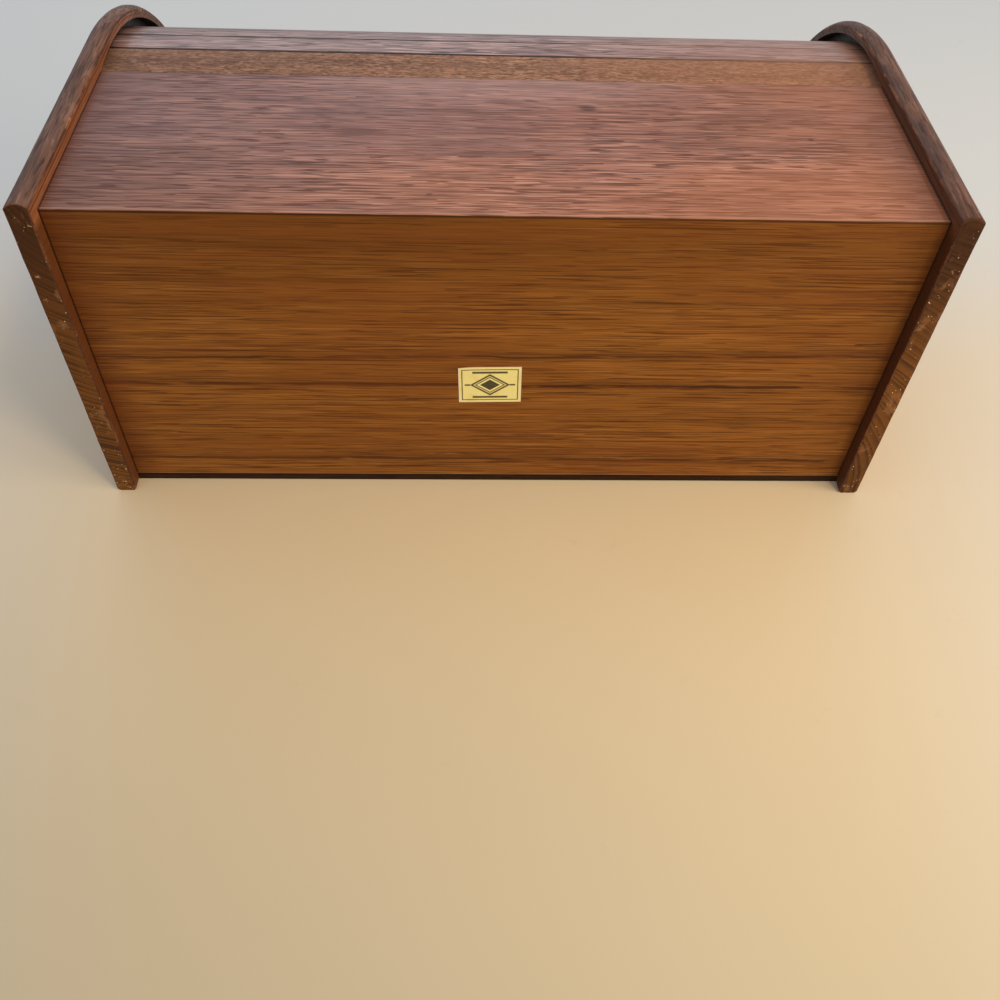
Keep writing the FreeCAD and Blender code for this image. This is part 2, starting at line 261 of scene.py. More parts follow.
def teak(name, pale, deep, line, dash, along="X", start=(0, 0, 0), pith=(0.2, 0.02), ring=0.008,
         rings=0.5, line_share=0.1, fine=1.3, streak_rate=14, streaks=0.25, dash_rate=90, dashes=0.8,
         draw_rate=24, draws=0.6, hairs=0.3, scarce=0.0, gleams=0.35, patch=0.35, gloss=0.42, shine=0.4,
         end_tone=None, end_shade=0.5, end_rings=0.3, wear_and_painted_light=None):
    """Solid teak in three dimensions: growth rings about a pith, and fibres and open pores along
    one axis, which show as short dashes on a long face and as specks on an end, under a thin
    rubbed finish.  Sizes are in metres, and rates count cells per metre along the fibres."""
    end_tone = end_tone or line
    material = bpy.data.materials.new(name)
    tree, surface = shader(material)
    coords = add(tree, "TexCoord")
    quarter = {"X": (0, 0, 0), "Y": (0, 0, -math.pi / 2)}[along]
    log = add(tree, "Mapping", {"Vector": coords.outputs["Object"], "Location": start,
                                "Rotation": quarter}).outputs["Vector"]

    def sway(vector, scale, reach):
        """The vector moved to and fro across the fibres."""
        swing = add(tree, "VectorMath", {0: grains(tree, vector, scale, (5, 2, 8)).outputs["Color"],
                                         1: (0.5, 0.5, 0.5)}, operation="SUBTRACT").outputs["Vector"]
        swing = add(tree, "VectorMath", {0: swing, 1: (0, reach, reach)}, operation="MULTIPLY")
        moved = add(tree, "VectorMath", {0: vector, 1: swing.outputs["Vector"]}, operation="ADD")
        return moved.outputs["Vector"]

    # The years: an uneven spacing, each year a thin dark line that comes and goes along the board.
    grown = sway(sway(log, (1.6, 7, 7), year_wander), (22, 60, 60), year_waver)
    split = add(tree, "SeparateXYZ", {"Vector": grown})
    out_y = reckon(tree, "SUBTRACT", split.outputs["Y"], pith[0])
    out_z = reckon(tree, "SUBTRACT", split.outputs["Z"], pith[1])
    years = reckon(tree, "DIVIDE", length(tree, out_y, out_z), ring)
    uneven = add(tree, "TexNoise", {"W": years, "Scale": 0.45, "Detail": 2.0}, noise_dimensions="1D")
    years = reckon(tree, "ADD", years, times(tree, uneven.outputs["Fac"], 2.2))
    season = reckon(tree, "FRACT", years)
    late = times(tree, between(tree, season, 1 - 2.2 * line_share, 1 - 0.7 * line_share),
                 between(tree, season, 1.0, 1 - 0.4 * line_share))
    vigour = add(tree, "TexNoise", {"W": reckon(tree, "FLOOR", years), "Scale": 0.9, "Detail": 0.0},
                 noise_dimensions="1D").outputs["Fac"]
    fading = between(tree, grains(tree, grown, (12, 80, 80)).outputs["Fac"], 0.35, 0.6, 0.15, 1.0)
    ring_lines = times(tree, late, fading, between(tree, vigour, 0.3, 0.7, 0.15 * rings, rings))

    # The fibres lie straighter: broad bands, fine streaks, short pores and longer drawn ones.
    fibres = sway(sway(log, (2.5, 12, 12), fibre_wander), (40, 120, 120), fibre_waver)
    clouds = grains(tree, log, (7, 16, 16), (7, 0, 3), detail=3).outputs["Fac"]
    bands = grains(tree, fibres, (3, 120, 120), (1, 4, 9)).outputs["Fac"]
    streak = grains(tree, fibres, (streak_rate, 760 * fine, 760 * fine), (2, 5, 7), detail=3,
                    roughness=0.72).outputs["Fac"]
    short = grains(tree, fibres, (dash_rate, 1000 * fine, 1000 * fine), (3, 1, 2),
                   detail=0.4).outputs["Fac"]
    drawn = grains(tree, fibres, (draw_rate, 820 * fine, 820 * fine), (6, 7, 1),
                   detail=0.8).outputs["Fac"]
    light = grains(tree, fibres, (0.5 * dash_rate, 800 * fine, 800 * fine), (9, 5, 4),
                   detail=1).outputs["Fac"]
    crowd = between(tree, clouds, 0.35, 0.65, 0.012 - scarce, -0.012 - scarce)
    pore = times(tree, between(tree, reckon(tree, "ADD", short, crowd), 0.595, 0.64), dashes)
    drawn = between(tree, reckon(tree, "ADD", drawn, crowd), 0.61, 0.645)
    pore = reckon(tree, "MAXIMUM", pore, times(tree, draws, drawn))
    hair = grains(tree, fibres, (8, 210 * fine, 210 * fine), (8, 2, 5), detail=2,
                  roughness=0.6).outputs["Fac"]
    apart = grains(tree, fibres, (26, 150, 150), (1, 9, 3)).outputs["Fac"]
    hair = times(tree, near(tree, hair, 0.5, 0.028), between(tree, apart, 0.4, 0.6, 0.0, hairs))
    gleam = between(tree, light, 0.58, 0.64)

    colour = mixed(tree, between(tree, bands, 0.3, 0.7), tone(*pale), tone(*deep))
    colour = mixed(tree, times(tree, between(tree, clouds, 0.4, 0.7), patch), colour,
                   tone(*[0.5 * (a + b) for a, b in zip(deep, line)]))
    streaked = between(tree, streak, 0.32, 0.68, 1 + streaks, 1 - streaks)
    colour = mixed(tree, 1.0, colour, streaked, "MULTIPLY")
    colour = mixed(tree, ring_lines, colour, tone(*line))
    colour = mixed(tree, times(tree, gleam, gleams), colour,
                   tone(*[min(255, 1.1 * c + 38) for c in pale]))
    colour = mixed(tree, reckon(tree, "MAXIMUM", pore, hair), colour, tone(*dash))

    # Sawn across, the wood drinks more finish: it is darker, ringed and specked.
    facing = add(tree, "SeparateXYZ", {"Vector": coords.outputs["Normal"]}).outputs[along]
    cut_across = between(tree, reckon(tree, "ABSOLUTE", facing), 0.35, 0.95)
    colour = mixed(tree, times(tree, cut_across, end_shade), colour, tone(*end_tone))
    mottled = grains(tree, log, (40, 40, 40), (2, 6, 6), detail=2).outputs["Fac"]
    summer = times(tree, between(tree, season, 0.15, 0.95), between(tree, season, 1.0, 0.95),
                   between(tree, mottled, 0.4, 0.62, 0.5, 1.0), end_rings, cut_across)
    colour = mixed(tree, summer, colour, tone(*[0.35 * c for c in end_tone]))
    rough = between(tree, streak, 0.3, 0.7, gloss - 0.05, gloss + 0.08)
    rough = reckon(tree, "ADD", rough, times(tree, pore, 0.2))
    if wear_and_painted_light:
        colour, rough = wear_and_painted_light(tree, coords, colour, rough)
    tree.links.new(colour, surface.inputs["Base Color"])
    tree.links.new(rough, surface.inputs["Roughness"])
    surface.inputs["Specular IOR Level"].default_value = shine
    relief = reckon(tree, "SUBTRACT", times(tree, streak, -0.5), pore)
    bump = add(tree, "Bump", {"Strength": 0.5, "Distance": pore_depth, "Height": relief})
    tree.links.new(bump.outputs["Normal"], surface.inputs["Normal"])
    return material


def finish_node(name, material):
    """A solid keeps its shape and gets this material all over."""
    mesh = nodes[name].data
    mesh.materials.clear()
    mesh.materials.append(material)


side_tones = dict(pale=(120, 76, 50), deep=(94, 57, 36), line=(62, 32, 16), dash=(50, 26, 14),
                  end_tone=(114, 65, 13), end_shade=0.93, end_rings=0.75)
rubbed_tones = dict(pale=(146, 92, 60), deep=(118, 72, 46), line=(84, 48, 28), dash=(70, 40, 24),
                    end_tone=(112, 66, 38), end_shade=0.6)
side_stains_and_painted_light = dict(dust=(88, 68, 62), score=(54, 34, 26), rub=(150, 112, 92), flank=(158, 88, 48),
                   low=(82, 44, 14), line=(44, 18, 8), away=(54, 26, 14), upper=(46, 20, 6),
                   scrape=(150, 100, 60), chip=(232, 206, 168), knock=(176, 134, 98), groove=(24, 12, 8))
arris_stains = dict(dirt=(72, 42, 28), fresh=(190, 132, 92))
flank_top = (0.163, 0.168)
outer_face = (0.197, 0.199)
far_half = (-0.10, -0.15)
dark_line = (0.1337, 0.0005)
faint_line = (0.1350, 0.0004)
line_waver = 0.003
groove_mouth = (0.0001, 0.0005)
groove_floor = (0.0068, 0.0064)
groove_wall = (0.1330, 0.1325)
groove_foot = (0.006, 0.008)
knock_raggedness = 0.005

# Each knock is its place, its reach and its strength.
knocks = (((-0.1985, 0.1345, 0.1760), 0.0016, 0.7), ((0.1967, 0.1402, 0.1411), 0.0009, 0.8),
          ((0.1972, 0.1402, 0.1287), 0.0010, 0.7), ((0.1942, 0.1402, 0.1146), 0.0030, 0.22),
          ((0.1916, 0.1402, 0.1668), 0.0009, 0.7), ((-0.1956, 0.1402, 0.1497), 0.0011, 0.7),
          ((-0.1889, 0.1380, 0.0448), 0.0009, 0.7), ((-0.1913, 0.1402, 0.0341), 0.0008, 0.8),
          ((-0.1931, 0.1402, 0.1180), 0.0026, 0.28), ((-0.1917, 0.1402, 0.0066), 0.0010, 0.6))


def handled_and_painted_light(tree, coords, colour, rough):
    """Dusty grey and painted sheen along the rim, painted warm light on the flanks, dark up the sawn ends.
    """
    where = coords.outputs["Object"]
    place = add(tree, "SeparateXYZ", {"Vector": where})
    x, y, z = [place.outputs[axis] for axis in "XYZ"]
    facing = add(tree, "SeparateXYZ", {"Vector": coords.outputs["Normal"]})
    flank = between(tree, reckon(tree, "ABSOLUTE", facing.outputs["X"]), 0.72, 0.95)
    sawn = between(tree, facing.outputs["Y"], 0.5, 0.9)
    rim = times(tree, reckon(tree, "SUBTRACT", 1.0, flank), reckon(tree, "SUBTRACT", 1.0, sawn))
    dust = grains(tree, where, (90, 28, 28), (2, 2, 1), detail=4).outputs["Fac"]
    scored = grains(tree, where, (420, 50, 50), (3, 5, 1), detail=3, roughness=0.6).outputs["Fac"]
    low = times(tree, between(tree, z, *flank_top, 1.0, 0.0),
                between(tree, reckon(tree, "ABSOLUTE", x), *outer_face, 1.0, 0.35))
    # The rim is painted dusty grey, partly a painted sheen; the flanks are painted warmer and lighter, a
    # painted light.
    colour = tinted(tree, colour, side_stains_and_painted_light,
                     dust=times(tree, rim, between(tree, dust, 0.35, 0.6, 0.15, 0.6)),
                     score=times(tree, rim, between(tree, scored, 0.54, 0.64, 0.0, 0.6)),
                     rub=times(tree, rim, between(tree, scored, 0.44, 0.36, 0.0, 0.35)),
                     flank=times(tree, flank, 0.4), low=times(tree, flank, low, 0.75))

    # A dark line runs round the flank below the rim; the -X panel's inner flank gets a painted shade.
    out_y = reckon(tree, "SUBTRACT", y, hub.y)
    out_z = reckon(tree, "SUBTRACT", z, hub.z)
    level = length(tree, reckon(tree, "MINIMUM", out_y, 0.0), out_z)
    roam = grains(tree, where, (20, 24, 20), (1, 1, 6), detail=3).outputs["Fac"]
    level = reckon(tree, "ADD", level, times(tree, reckon(tree, "SUBTRACT", roam, 0.5), line_waver))
    line = reckon(tree, "MAXIMUM", near(tree, level, *dark_line),
                  times(tree, near(tree, level, *faint_line), 0.6))
    painted_shade_side = times(tree, between(tree, facing.outputs["X"], 0.5, 0.9), between(tree, x, *far_half))
    upper = reckon(tree, "MAXIMUM", between(tree, z, 0.09, 0.165, 0.0, 0.75),
                   times(tree, between(tree, z, 0.07, 0.0, 0.0, 0.35), between(tree, x, 0.0, -0.1)))

    # The sawn ends are scraped and chipped, most of all near the feet, and knocked here and there.
    worn = grains(tree, where, (160, 60, 75), (8, 3, 5), detail=3).outputs["Fac"]
    chips = grains(tree, where, (900, 900, 900), (1, 7, 4), detail=1).outputs["Fac"]
    chips = reckon(tree, "ADD", chips, between(tree, z, 0.04, 0.004, 0.0, 0.03))
    chips = times(tree, between(tree, chips, 0.728, 0.755), between(tree, worn, 0.42, 0.54))
    colour = tinted(tree, colour, side_stains_and_painted_light, line=times(tree, flank, line, 0.7),
                     away=times(tree, painted_shade_side, 0.6), upper=times(tree, sawn, upper),
                     scrape=times(tree, sawn, between(tree, worn, 0.56, 0.68, 0.0, 0.45)),
                     chip=times(tree, sawn, chips))
    ragged = add(tree, "VectorMath", {0: grains(tree, where, (700, 700, 700)).outputs["Color"],
                                      1: (0.5, 0.5, 0.5)}, operation="SUBTRACT").outputs["Vector"]
    ragged = add(tree, "VectorMath", {0: ragged, 1: (knock_raggedness,) * 3, 2: where},
                 operation="MULTIPLY_ADD").outputs["Vector"]
    for spot, reach, strength in knocks:
        away = add(tree, "VectorMath", {0: ragged, 1: spot}, operation="DISTANCE").outputs["Value"]
        colour = tinted(tree, colour, side_stains_and_painted_light,
                         knock=between(tree, away, 0.5 * reach, 0.85 * reach, strength, 0.0))
    rough = reckon(tree, "ADD", rough, times(tree, rim, between(tree, dust, 0.3, 0.7, 0.0, 0.15)))

    # Inside the curtain's groove the wood is painted nearly black, a painted shadow.
    sunk = reckon(tree, "SUBTRACT", reckon(tree, "ABSOLUTE", x), inner_wall)
    groove = times(tree, between(tree, sunk, *groove_mouth), between(tree, sunk, *groove_floor),
                   between(tree, length(tree, out_y, out_z), *groove_wall),
                   between(tree, z, *groove_foot))
    return tinted(tree, colour, side_stains_and_painted_light, groove=groove), rough


def scuffed(tree, coords, colour, rough):
    """A rubbed arris: paler only where it has been knocked lately, and dark with dirt elsewhere."""
    facing = add(tree, "SeparateXYZ", {"Vector": coords.outputs["Normal"]})
    fresh = grains(tree, coords.outputs["Object"], (60, 45, 45), (4, 2, 6), detail=4,
                   roughness=0.65).outputs["Fac"]
    knocked = times(tree, between(tree, fresh, 0.62, 0.70, 0.0, 0.5),
                    between(tree, facing.outputs["Y"], 0.8, 0.3))
    return tinted(tree, colour, arris_stains, dirt=between(tree, fresh, 0.42, 0.60, 0.9, 0.1),
                   fresh=knocked), rough


hub = Vector(frame["record"]["behaviour"]["joints"][0]["pos_m"])
rim_rise = 0.0024
groove_lip = 0.006
groove_depth = 0.006
groove_width = 0.0103
groove_turns = (math.radians(91), math.radians(-94))
rebate_depth = 0.004
rebate_height = 0.005
rebate_reach = 0.13235
arris_steps = 0.003
worn_width = 0.0012
foot_chamfer = 0.0015
inner_wall = 0.19
cutter_overrun = 0.001
groove_steps = 96
same_place = 1e-5
table_reached = 1e-4
soft_until = math.radians(25)


def newest(name):
    """The object that the last primitive made, named."""
    made = bpy.context.object
    made.name = name
    made.data.name = name
    return made


def settle(piece):
    """The object's place, turn and size go into its mesh."""
    bpy.ops.object.select_all(action="DESELECT")
    piece.select_set(True)
    bpy.context.view_layer.objects.active = piece
    bpy.ops.object.transform_apply(location=True, rotation=True, scale=True)


def choose(piece, kind, wanted):
    """In edit mode, select just the vertices, edges or faces that are wanted."""
    bpy.ops.mesh.select_mode(type=kind)
    bpy.ops.mesh.select_all(action="DESELECT")
    shape = bmesh.from_edit_mesh(piece.data)
    parts = {"VERT": shape.verts, "EDGE": shape.edges, "FACE": shape.faces}[kind]
    for part in parts:
        if wanted(part):
            part.select_set(True)
    shape.select_flush_mode()
    bmesh.update_edit_mesh(piece.data)


def cut_with(piece, cutter):
    """The cutter's shape is taken out of the piece, and the cutter is thrown away."""
    chop = piece.modifiers.new("cut", "BOOLEAN")
    chop.object = cutter
    chop.solver = "EXACT"
    bpy.context.view_layer.objects.active = piece
    bpy.ops.object.modifier_apply(modifier=chop.name)
    bpy.data.objects.remove(cutter, do_unlink=True)


def block(place, size, turn=0.0):
    """A plain block to cut with, turned about Y."""
    bpy.ops.object.select_all(action="DESELECT")
    bpy.ops.mesh.primitive_cube_add(size=1, rotation=(0, turn, 0), location=place)
    made = newest("cutter")
    made.scale = size
    settle(made)
    return made


def end_panel(name, node, finishes):
    """A D of solid teak, crowned round its rim, its arrises worn unevenly."""
    low, high = [Vector(corner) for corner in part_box(node)]
    middle = (low + high) / 2
    thickness = high.x - low.x
    radius = high.z - hub.z
    straight = high.y - hub.y
    side = math.copysign(1, middle.x)

    def dip(x):
        """How far the crowned rim falls below its middle at x."""
        return rim_rise * (2 * (x - middle.x) / thickness) ** 2

    # The rim's straight top is a strip, crowned across, which is then spun and drawn down.
    bpy.ops.object.select_all(action="DESELECT")
    bpy.ops.mesh.primitive_grid_add(x_subdivisions=5, y_subdivisions=round(straight / arris_steps), size=1,
                                    location=(middle.x, hub.y + straight / 2, high.z))
    board = newest(name)
    board.scale = (thickness, straight, 1)
    settle(board)
    for vertex in board.data.vertices:
        vertex.co.z -= dip(vertex.co.x)
    bpy.ops.object.mode_set(mode="EDIT")
    choose(board, "VERT", lambda v: v.co.y < hub.y + same_place)
    bpy.ops.mesh.spin(steps=round(radius * math.pi / 2 / arris_steps), angle=-math.pi / 2,
                      center=hub, axis=(1, 0, 0))
    choose(board, "VERT", lambda v: abs(v.co.z - hub.z) < same_place)
    front_rows = round(hub.z / arris_steps)
    for step in range(front_rows):
        bpy.ops.mesh.extrude_region_move(TRANSFORM_OT_translate={"value": (0, 0, -hub.z / front_rows)})
    choose(board, "VERT", lambda v: v.co.y > high.y - same_place)
    back_rows = round(high.z / arris_steps)
    for step in range(back_rows):
        bpy.ops.mesh.extrude_region_move(TRANSFORM_OT_translate={"value": (0, 0, -high.z / back_rows)})
    shape = bmesh.from_edit_mesh(board.data)
    for vertex in shape.verts:
        if vertex.co.y > high.y - same_place:
            fall = dip(vertex.co.x)
            vertex.co.z += fall * (1 - (vertex.co.z + fall) / high.z)
    choose(board, "EDGE", lambda e: e.is_boundary and all(abs(v.co.z) < same_place for v in e.verts))
    bpy.ops.mesh.bridge_edge_loops()
    for place in (low.x, high.x):
        choose(board, "EDGE", lambda e: e.is_boundary and all(abs(v.co.x - place) < same_place
                                                              for v in e.verts))
        bpy.ops.mesh.edge_face_add()
    bpy.ops.mesh.select_all(action="SELECT")
    bpy.ops.mesh.normals_make_consistent(inside=False)
    bpy.ops.object.mode_set(mode="OBJECT")

    # Its arrises are rubbed down by hands and tables, more in some places than in others.
    shape = bmesh.new()
    shape.from_mesh(board.data)
    softness = shape.edges.layers.float.new("bevel_weight_edge")
    for edge in shape.edges:
        if edge.calc_face_angle(0) > soft_until:
            place = (edge.verts[0].co + edge.verts[1].co) / 2
            rub = 0.5 + 0.5 * noise.noise(place * 90) + 0.35 * noise.noise(place * 310)
            edge[softness] = 0.0 if place.z < table_reached else min(1.0, max(0.15, rub))
    shape.to_mesh(board.data)
    shape.free()
    for finish in finishes:
        board.data.materials.append(finish)
    worn = board.modifiers.new("worn", "BEVEL")
    worn.limit_method = "WEIGHT"
    worn.width = worn_width
    worn.segments = 2
    worn.material = 1
    worn.use_clamp_overlap = False
    bpy.context.view_layer.objects.active = board
    bpy.ops.object.modifier_apply(modifier=worn.name)

    # The curtain's groove is run in the inner face, and the rebate for the bottom board.
    inner_x = middle.x - side * thickness / 2
    start, end = groove_turns
    reach = radius - groove_lip - groove_width / 2
    bpy.ops.object.select_all(action="DESELECT")
    bpy.ops.mesh.primitive_plane_add(size=1, rotation=(start, 0, 0), location=(
        inner_x + side * (groove_depth - cutter_overrun) / 2,
        hub.y - reach * math.sin(start), hub.z + reach * math.cos(start)))
    cutter = newest("groove_cutter")
    cutter.rotation_euler.x = start + math.pi / 2
    cutter.scale = (groove_depth + cutter_overrun, groove_width, 1)
    settle(cutter)
    bpy.ops.object.mode_set(mode="EDIT")
    bpy.ops.mesh.select_all(action="SELECT")
    bpy.ops.mesh.spin(steps=groove_steps, angle=start - end, center=hub, axis=(1, 0, 0))
    bpy.ops.mesh.select_all(action="SELECT")
    bpy.ops.mesh.normals_make_consistent(inside=False)
    bpy.ops.object.mode_set(mode="OBJECT")
    cut_with(board, cutter)
    cut_with(board, block(
        (inner_x + side * (rebate_depth - cutter_overrun) / 2, 0, (rebate_height - cutter_overrun) / 2),
        (rebate_depth + cutter_overrun, 2 * rebate_reach, rebate_height + cutter_overrun)))
    notch = foot_chamfer * math.sqrt(2)
    for edge_x in (low.x, high.x):
        cut_with(board, block((edge_x, 0, 0), (notch, 4 * radius, notch), turn=math.pi / 4))
    bpy.ops.object.select_all(action="DESELECT")
    board.select_set(True)
    bpy.context.view_layer.objects.active = board
    bpy.ops.object.shade_smooth_by_angle(angle=soft_until)
    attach(board, "box")
    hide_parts(node)


rubbed = teak("rubbed_teak", along="Y", gloss=0.6, shine=0.15, wear_and_painted_light=scuffed, **rubbed_tones)
side_wood = dict(along="Y", ring=0.0032, patch=0.3, dashes=0.5, draws=0.6, gleams=0.2, shine=0.17,
                 wear_and_painted_light=handled_and_painted_light, **side_tones)
end_panel("right_end_panel", "right_side",
          [teak("right_side_teak", pith=(-0.133, 0.205), start=(0.4, 0, 0), **side_wood), rubbed])
end_panel("left_end_panel", "left_side",
          [teak("left_side_teak", pith=(0.13, 0.0), start=(1.7, 0, 0), **side_wood), rubbed])


# ------------------------------------------------------------------------------ boards
# The top board, back panel, bottom board and front rail run between the end panels, grain
# lengthwise.  The top board is redder, and the back panel is a browner, straighter board.
top_tones = dict(pale=(166, 110, 86), deep=(142, 90, 71), line=(92, 50, 40), dash=(66, 32, 24))
panel_tones = dict(pale=(146, 88, 30), deep=(132, 78, 24), line=(80, 38, 7), dash=(70, 30, 4))
fine_grain = dict(fine=1.2, streaks=0.55, dash_rate=72, dashes=0.9, draw_rate=26, draws=0.75, hairs=0.1,
                  scarce=0.006, gleams=0.55)
board_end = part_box("top_board")[1][0]
arris_y, arris_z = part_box("back_panel")[1][1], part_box("top_board")[1][2]
board_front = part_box("top_board")[0][1]
sheet_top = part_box("bottom_board")[1][2]
seam_width = 0.0011
seam_tone = (34, 14, 8)
near_black = (30, 14, 5)
year_roam = 0.004

# Each year is its height, its fall along the board, its width and its strength.
years_seen = ((0.0909, -0.0121, 0.0005, 0.75), (0.0722, 0.0, 0.0007, 0.9), (0.018, 0.004, 0.0008, 0.7),
              (0.1235, -0.004, 0.0004, 0.4), (0.0475, 0.003, 0.0004, 0.4))
back_stains_and_painted_light = dict(year=(58, 26, 6), upper=(92, 48, 8), edge=(92, 42, 16), red=(126, 66, 22),
                   foot=(168, 124, 96))
lid_stains_and_painted_light = dict(bloom=(124, 90, 92), warm=(163, 97, 56), far=(84, 52, 42), corner=(84, 48, 34),
                  edge=(96, 52, 34), smudge=(66, 34, 26), arris=(196, 142, 112), end=(70, 36, 26))

# A patch is its x and reach, its y and reach, its strength and tone; a smudge is x, y, reach, strength.
# The first patch is a painted sheen, pale across the middle near the front edge.
lid_patches = ((0.0, 0.12, 0.015, 0.04, 0.35, (176, 136, 124)),
               (0.03, 0.10, 0.068, 0.03, 0.4, (110, 78, 78)),
               (-0.12, 0.10, 0.06, 0.04, 0.3, (112, 66, 46)))
smudges = ((-0.0422, 0.0459, 0.0035, 0.65), (-0.1433, 0.0703, 0.0013, 0.8), (0.031, 0.118, 0.0011, 0.6),
           (0.108, 0.072, 0.0009, 0.5))


def seamed(tree, place, colour, *seams):
    """Dirt in the lines where boards meet: a seam is its axis, value, width and strength."""
    for axis, value, width, strength in seams:
        line = times(tree, near(tree, place.outputs[axis], value, width), strength)
        colour = mixed(tree, line, colour, tone(*seam_tone))
    return colour


def lid_wear_and_painted_light(tree, coords, colour, rough):
    """A painted cool sheen and warm light, painted shade by the ends, dark seams, and a few small stains.
    """
    place = add(tree, "SeparateXYZ", {"Vector": coords.outputs["Object"]})
    x, y = place.outputs["X"], place.outputs["Y"]
    haze = grains(tree, coords.outputs["Object"], (5, 14, 14), (3, 3, 3), detail=3).outputs["Fac"]
    # Along this lean the board gets a painted cool sheen towards +X and the front, and painted warm light
    # towards -X and the back.
    lean = reckon(tree, "ADD", times(tree, x, 1.6), times(tree, y, -3.2))
    lean = reckon(tree, "ADD", lean, times(tree, haze, 1.6))
    # Towards +X and at the +X back corner the board is painted darker, a painted shade; its front edge is
    # darker too.
    corner = times(tree, between(tree, x, 0.05, 0.19), between(tree, y, 0.03, 0.13, 0.0, 0.45))
    front = between(tree, y, board_front + 0.018, board_front + 0.004, 0.0, 0.15)
    colour = tinted(tree, colour, lid_stains_and_painted_light, bloom=between(tree, lean, 0.45, 1.25, 0.0, 0.5),
                     warm=between(tree, lean, 0.85, 0.2, 0.0, 0.6),
                     far=between(tree, x, -0.02, 0.19, 0.0, 0.3),
                     corner=reckon(tree, "MAXIMUM", corner, front))
    for patch_x, reach_x, patch_y, reach_y, strength, shade in lid_patches:
        patch = times(tree, near(tree, x, patch_x, reach_x), near(tree, y, patch_y, reach_y), strength)
        colour = mixed(tree, patch, colour, tone(*shade))
    # Beside both end panels the board is painted darker, a painted shade where they hide its sheen.
    edge = between(tree, reckon(tree, "ABSOLUTE", x), board_end - 0.03, board_end, 0.0, 0.4)
    colour = tinted(tree, colour, lid_stains_and_painted_light, edge=edge)
    for spot_x, spot_y, reach, strength in smudges:
        away_x = times(tree, reckon(tree, "SUBTRACT", x, spot_x), 0.6)
        away = length(tree, away_x, reckon(tree, "SUBTRACT", y, spot_y))
        colour = tinted(tree, colour, lid_stains_and_painted_light,
                         smudge=between(tree, away, 0.3 * reach, reach, strength, 0.0))
    # A pale line by the back arris is wear and a painted highlight, and a narrow dark band at the -X end is
    # a painted shadow of that end panel.
    colour = tinted(tree, colour, lid_stains_and_painted_light,
                     arris=times(tree, near(tree, y, arris_y - 0.0011, 0.0009), 0.3),
                     end=between(tree, x, 0.0038 - board_end, 0.0026 - board_end, 0.0, 0.4))
    return seamed(tree, place, colour, ("X", board_end, seam_width, 0.8),
                  ("X", -board_end, seam_width, 0.8), ("Y", arris_y, 0.0003, 0.4),
                  ("Y", board_front, 0.0014, 0.85)), rough


def back_wear_and_painted_light(tree, coords, colour, rough):
    """A few heavy years, painted shade to the top and ends, dark seams, and a painted highlight at the
    foot.
    """
    where = coords.outputs["Object"]
    place = add(tree, "SeparateXYZ", {"Vector": where})
    along, height = place.outputs["X"], place.outputs["Z"]
    roam = add(tree, "TexNoise", {"W": along, "Scale": 22.0, "Detail": 3.0}, noise_dimensions="1D")
    roam = times(tree, reckon(tree, "SUBTRACT", roam.outputs["Fac"], 0.5), year_roam)
    broken = grains(tree, where, (34, 60, 260), (4, 4, 4), detail=3).outputs["Fac"]
    for level, fall, width, strength in years_seen:
        line_z = reckon(tree, "ADD", reckon(tree, "ADD", times(tree, along, fall), level), roam)
        gap = reckon(tree, "SUBTRACT", height, line_z)
        line = times(tree, near(tree, gap, 0.0, 2.2 * width),
                     between(tree, broken, 0.36, 0.5, 0.25 * strength, strength))
        shadow = times(tree, near(tree, gap, 0.0012, 0.0045), 0.3 * strength)
        colour = tinted(tree, colour, back_stains_and_painted_light, year=reckon(tree, "MAXIMUM", line, shadow))
    # The panel is painted darker towards the top and more so towards +X, and beside both end panels:
    # painted shade.
    upper = times(tree, between(tree, height, 0.10, arris_z), between(tree, along, -0.12, 0.10, 0.3, 0.6))
    edge = reckon(tree, "MAXIMUM", between(tree, along, board_end - 0.022, board_end, 0.0, 0.5),
                  between(tree, along, 0.007 - board_end, -board_end, 0.0, 0.5))
    red = grains(tree, where, (7, 7, 90), (6, 1, 2), detail=2).outputs["Fac"]
    colour = tinted(tree, colour, back_stains_and_painted_light, upper=upper, edge=edge,
                     red=between(tree, red, 0.45, 0.65, 0.0, 0.35))
    colour = seamed(tree, place, colour, ("X", board_end, seam_width, 0.85),
                    ("X", -board_end, seam_width, 0.85), ("Z", arris_z - 0.0006, 0.0009, 0.7))
    # A pale line just above the bottom board is a painted highlight on the panel's lower arris.
    foot = times(tree, near(tree, height, sheet_top + 0.0004, 0.0009), 0.5)
    return tinted(tree, colour, back_stains_and_painted_light, foot=foot), rough


def edges_near_black(tree, coords, colour, rough):
    """The sheet's sawn edges are painted nearly black."""
    facing = add(tree, "SeparateXYZ", {"Vector": coords.outputs["Normal"]}).outputs["Z"]
    edge = between(tree, reckon(tree, "ABSOLUTE", facing), 0.9, 0.5, 0.0, 0.93)
    return mixed(tree, edge, colour, tone(*near_black)), rough


